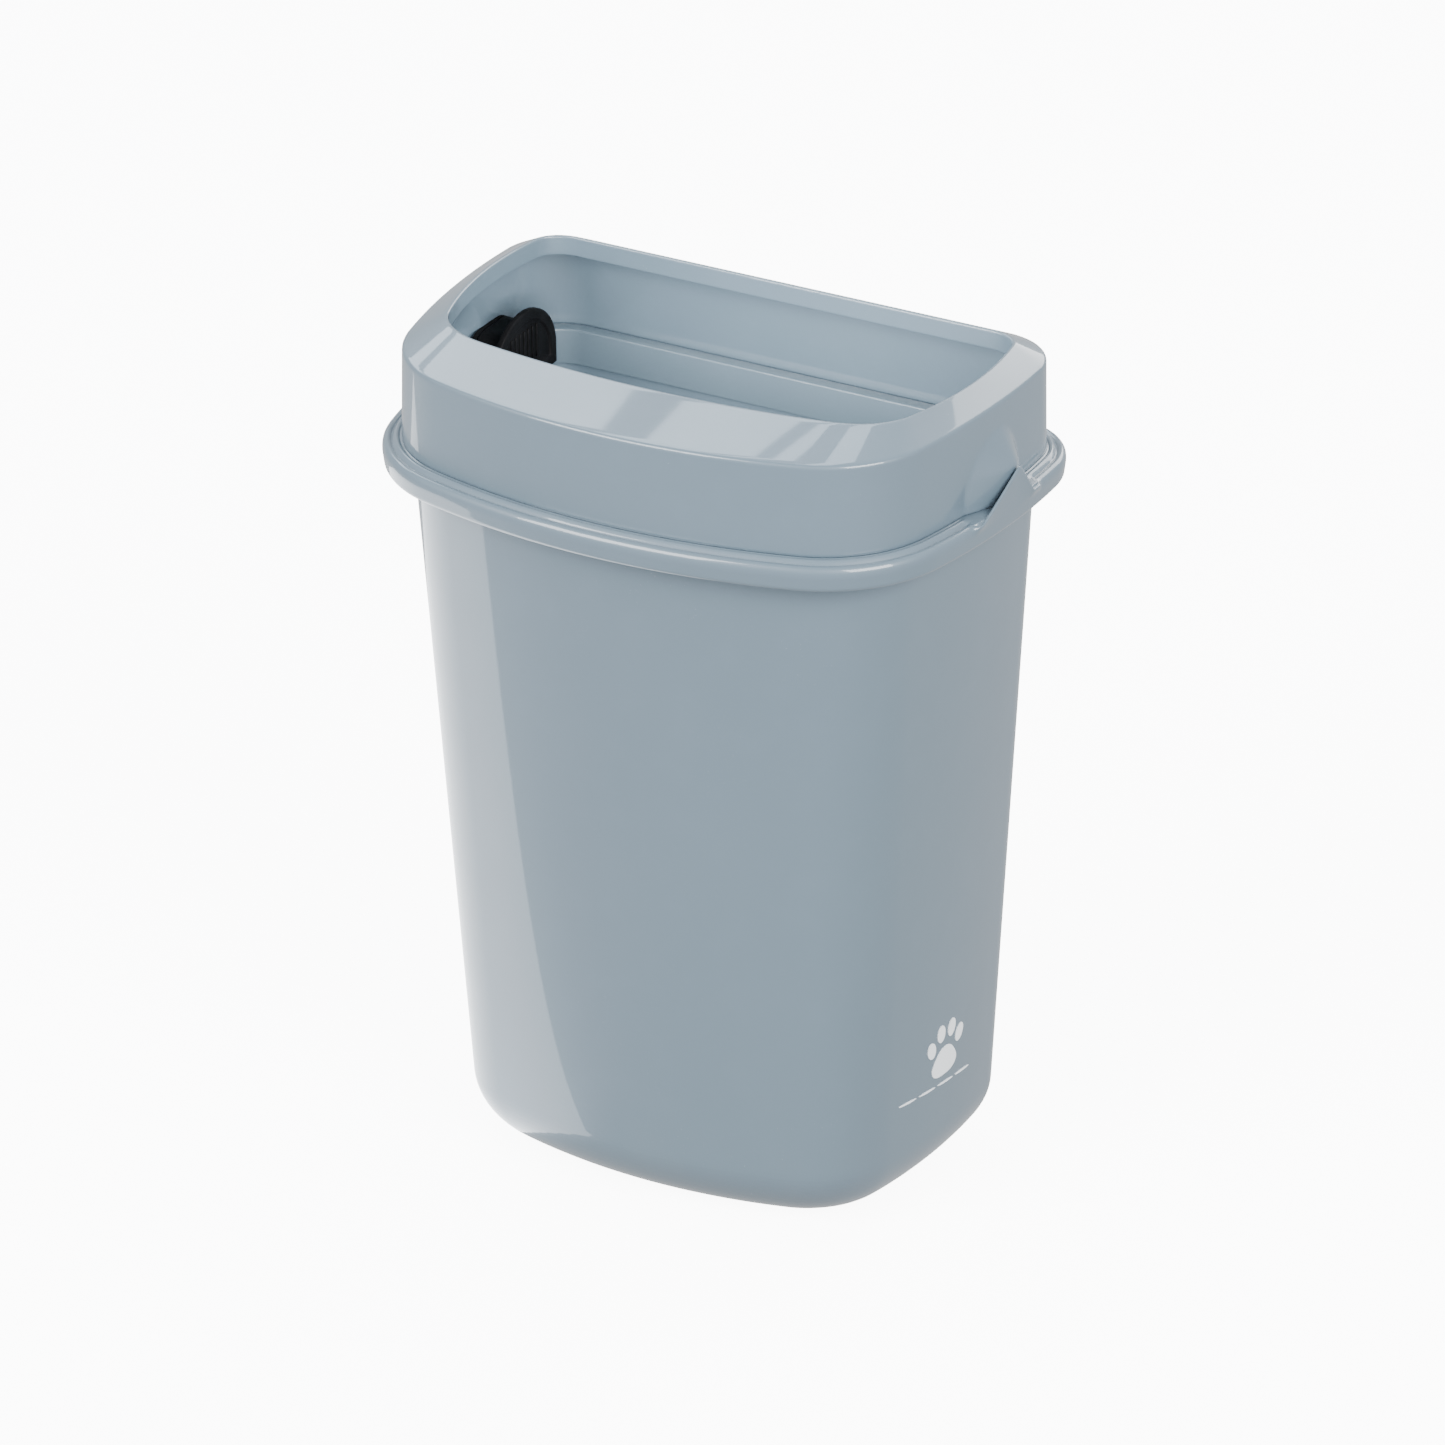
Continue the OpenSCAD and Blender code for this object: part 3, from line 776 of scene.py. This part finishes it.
def make_face():
    """The round-topped face plate: a plain border round a sunk panel."""
    far = COVER_X[1]
    panel = far - PANEL_SUNK
    rows = [
        (face_outline(far - FACE_T, 2), 0),
        (face_outline(far - FACE_T, 0), 0.5),
        (face_outline(far, 0), 1.3),
        (face_outline(far, FACE_BORDER), 0.7),
        (face_outline(panel, FACE_BORDER + 0.9), 0.5),
        (face_outline(panel, FACE_BORDER + 2), 0),
    ]
    done = shell_rows(rows, closed=False)
    done = cap_rows(done[0], 8)[::-1] + done + cap_rows(done[-1], 6)
    verts, faces = skin(done, closed=False, first_cap=True, last_cap=True)
    plate = piece("cartridge_face", verts, faces, "black_plastic", "cartridge")
    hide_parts("cartridge_cover")
    return plate


def make_louvres():
    """A row of upright bars on the face plate's sunk panel."""
    r = LOUVRE_R
    bar = np.array([(0, -r), (0.75, -0.55), (r, 0), (0.75, 0.55), (0, r)])
    rows = [row3(bar, z) for z in np.linspace(0, LOUVRE_H, 8)]
    shape = helper("louvre_shape", *skin(rows, closed=False, first_cap=True, last_cap=True))
    mid, foot = sum(CART_Y) / 2, CART_LOW - 8
    offsets = (np.arange(LOUVRES) - (LOUVRES - 1) / 2) * LOUVRE_PITCH
    places = [(COVER_X[1] - PANEL_SUNK - 0.05, mid + y, foot) for y in offsets]
    return repeated("cap_louvres", shape, places, "black_plastic", "cartridge")


def make_screws():
    """Two pan-head screws with a round socket."""
    head = [(0.01, 1.6), (1.5, 1.6), (1.5, 3.3), (1.8, 3.4), (2.7, 3.1), (3.25, 2.3), (3.3, 1.3), (1.75, 1.2)]
    thread = []
    for k in range(8):
        along = 0.9 - k * 0.75
        thread += [(1.75, along), (1.45, along - 0.38)]
    profile = head + thread + [(0.01, -5.4)]
    shape = turned("screw_shape", profile, sides=36)
    shape.data.transform(Matrix.Rotation(-math.pi / 2, 4, "Z"))
    x = WALL_X + 4.1
    places = [(x, y, CART_LOW + SCREW_UP) for y in (CART_Y[0] + SCREW_INSET, CART_Y[1] - SCREW_INSET)]
    screws = repeated("pan_head_screws", shape, places, "steel", "hood")
    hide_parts("bracket_screws")
    return screws


def make_pad():
    """The felt block behind the louvres, its faces slightly uneven."""
    width = CART_Y[1] - CART_Y[0] - 2 * COVER_T - 1.6
    near, far = WALL_X + 11.4, COVER_X[1] - COVER_T - 0.4
    low, high = CART_LOW + 0.9, CART_LOW + CART_H - COVER_T - 0.8
    rows = [
        (arch_row(near, width - 2.4, low + 1.2, high - 1.2, 10.4), 0),
        (arch_row(near, width, low, high, 12.8), 1.4),
        (arch_row(far, width, low, high, 12.8), 1.4),
        (arch_row(far, width - 2.4, low + 1.2, high - 1.2, 10.4), 0),
    ]
    done = shell_rows(rows, closed=False)
    done = cap_rows(done[0], 8)[::-1] + done + cap_rows(done[-1], 8)
    verts, faces = skin(done, closed=False, first_cap=True, last_cap=True)
    ripple = 0.12 * np.sin(verts[:, 1] * 0.9) * np.sin(verts[:, 2] * 1.1 + verts[:, 0] * 0.7)
    verts[:, 0] += ripple
    pad = piece("carbon_felt_pad", verts, faces, "carbon_felt", "cartridge")
    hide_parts("carbon_pad")
    return pad


def paint_bracket():
    """The bracket keeps its CAD mesh, in the cartridge's plastic."""
    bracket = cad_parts["cartridge_bracket"].data
    bracket.materials.clear()
    bracket.materials.append(MATERIALS["black_plastic"])


# ---- Stage: camera, floor and lights; lengths are in metres, apart from FLOOR_HALF in millimetres ----
VIEW_TURN, VIEW_RISE = math.radians(28.81), math.radians(26.6)
VIEW_DISTANCE, LENS, SENSOR_W = 6.26, 240.6, 36
AIM_RIGHT, AIM_DOWN = 0.01358, 0.23554


def make_camera():
    """A long lens, a little above the hood and to the right of the front."""
    right = Vector((math.cos(VIEW_TURN), math.sin(VIEW_TURN), 0))
    level = math.cos(VIEW_RISE)
    back = Vector((math.sin(VIEW_TURN) * level, -math.cos(VIEW_TURN) * level, math.sin(VIEW_RISE)))
    up = back.cross(right)
    aim = Vector((0, 0, SHOULDER_Z * MM)) + right * AIM_RIGHT - up * AIM_DOWN
    data = bpy.data.cameras.new("camera")
    data.lens, data.sensor_width = LENS, SENSOR_W
    camera = bpy.data.objects.new("camera", data)
    turn = Matrix((right, up, back)).transposed().to_4x4()
    camera.matrix_world = Matrix.Translation(aim + back * VIEW_DISTANCE) @ turn
    bpy.context.scene.collection.objects.link(camera)
    bpy.context.scene.camera = camera


def make_light(name, place, aim, size, radiance, colour=(1, 1, 1), hidden=False, turn=0.0):
    """A soft panel of a given brightness, facing what it aims at."""
    data = bpy.data.lights.new(name, "AREA")
    data.shape, data.size, data.size_y = "RECTANGLE", *size
    data.energy, data.color = radiance * math.pi * size[0] * size[1], colour
    light = bpy.data.objects.new(name, data)
    light.location = place
    facing = (Vector(place) - Vector(aim)).to_track_quat("Z", "Y")
    light.rotation_euler = (facing @ Quaternion((0, 0, 1), turn)).to_euler()
    light.visible_camera = not hidden
    bpy.context.scene.collection.objects.link(light)


# Overhead panels as (from, to) across the width; the gaps between them show as bars on the top band
TOP_PANELS = ((-3.2, -2.35), (-2.15, -1.31), (-1.20, -0.92), (-0.87, -0.81), (-0.58, -0.30))
TOP_PANEL_Y, TOP_PANEL_Z, TOP_RADIANCE = (0.55, 2.3), 2.6, 6.0
CARD_PLACE, CARD_SIZE, CARD_EDGE = (-0.765, -0.007, 0.001), (1.09, 0.9), (-0.871, -0.491)
KEY_RADIUS, KEY_Z, KEY_SIZE = 3.4, 2.2, 2.2
KEYS = (("key_right", 64, 17), ("key_left", -24, 16), ("back_fill", 170, 6))  # turn in degrees, radiance
FLOOR_HALF = 9000
COOL, FAINT_COOL = (0.82, 0.92, 1), (0.94, 0.97, 1)


def make_floor():
    """A backdrop only: the floor neither mirrors in the bin nor lights it."""
    far = FLOOR_HALF
    corners = [(-far, -far, 0), (far, -far, 0), (far, far, 0), (-far, far, 0)]
    floor = helper("floor", corners, [(0, 1, 2, 3)])
    floor.data.materials.append(pale_floor("floor_paint"))
    floor.visible_glossy = floor.visible_diffuse = False


def make_lights():
    mid_y, deep = sum(TOP_PANEL_Y) / 2, TOP_PANEL_Y[1] - TOP_PANEL_Y[0]
    for k, (x0, x1) in enumerate(TOP_PANELS):
        place = ((x0 + x1) / 2, mid_y, TOP_PANEL_Z)
        below = (place[0], mid_y, 0)
        make_light(f"top_panel_{k}", place, below, (x1 - x0, deep), TOP_RADIANCE, COOL)
    # A low card beside the bin, which only its left flank mirrors
    turn = -math.atan2(CARD_EDGE[1], CARD_EDGE[0])
    above = (*CARD_PLACE[:2], 1)
    make_light("low_left_card", CARD_PLACE, above, CARD_SIZE, 3.6, FAINT_COOL, hidden=True, turn=turn)
    for name, turn, radiance in KEYS:
        a = math.radians(turn)
        place = (KEY_RADIUS * math.sin(a), -KEY_RADIUS * math.cos(a), KEY_Z)
        make_light(name, place, (0, 0, 0.3), (KEY_SIZE, KEY_SIZE), radiance)
    # A strip under the front lip keeps the inside of the hood as light as the outside
    make_light("inside_fill", (0.02, -0.07, 0.572), (0, 0.133, 0.5), (0.28, 0.03), 38, hidden=True)


def make_world():
    world = bpy.data.worlds.new("studio")
    world.use_nodes = True
    air = world.node_tree.nodes["Background"].inputs
    air["Color"].default_value = (0.94, 0.96, 0.98, 1)
    air["Strength"].default_value = 0.86
    bpy.context.scene.world = world


make_camera()
make_floor()
make_lights()
make_world()
make_tub()
make_bosses()
make_bushes()
make_mark()
make_ring()
make_hood()
make_cover()
make_face()
make_louvres()
make_screws()
make_pad()
paint_bracket()
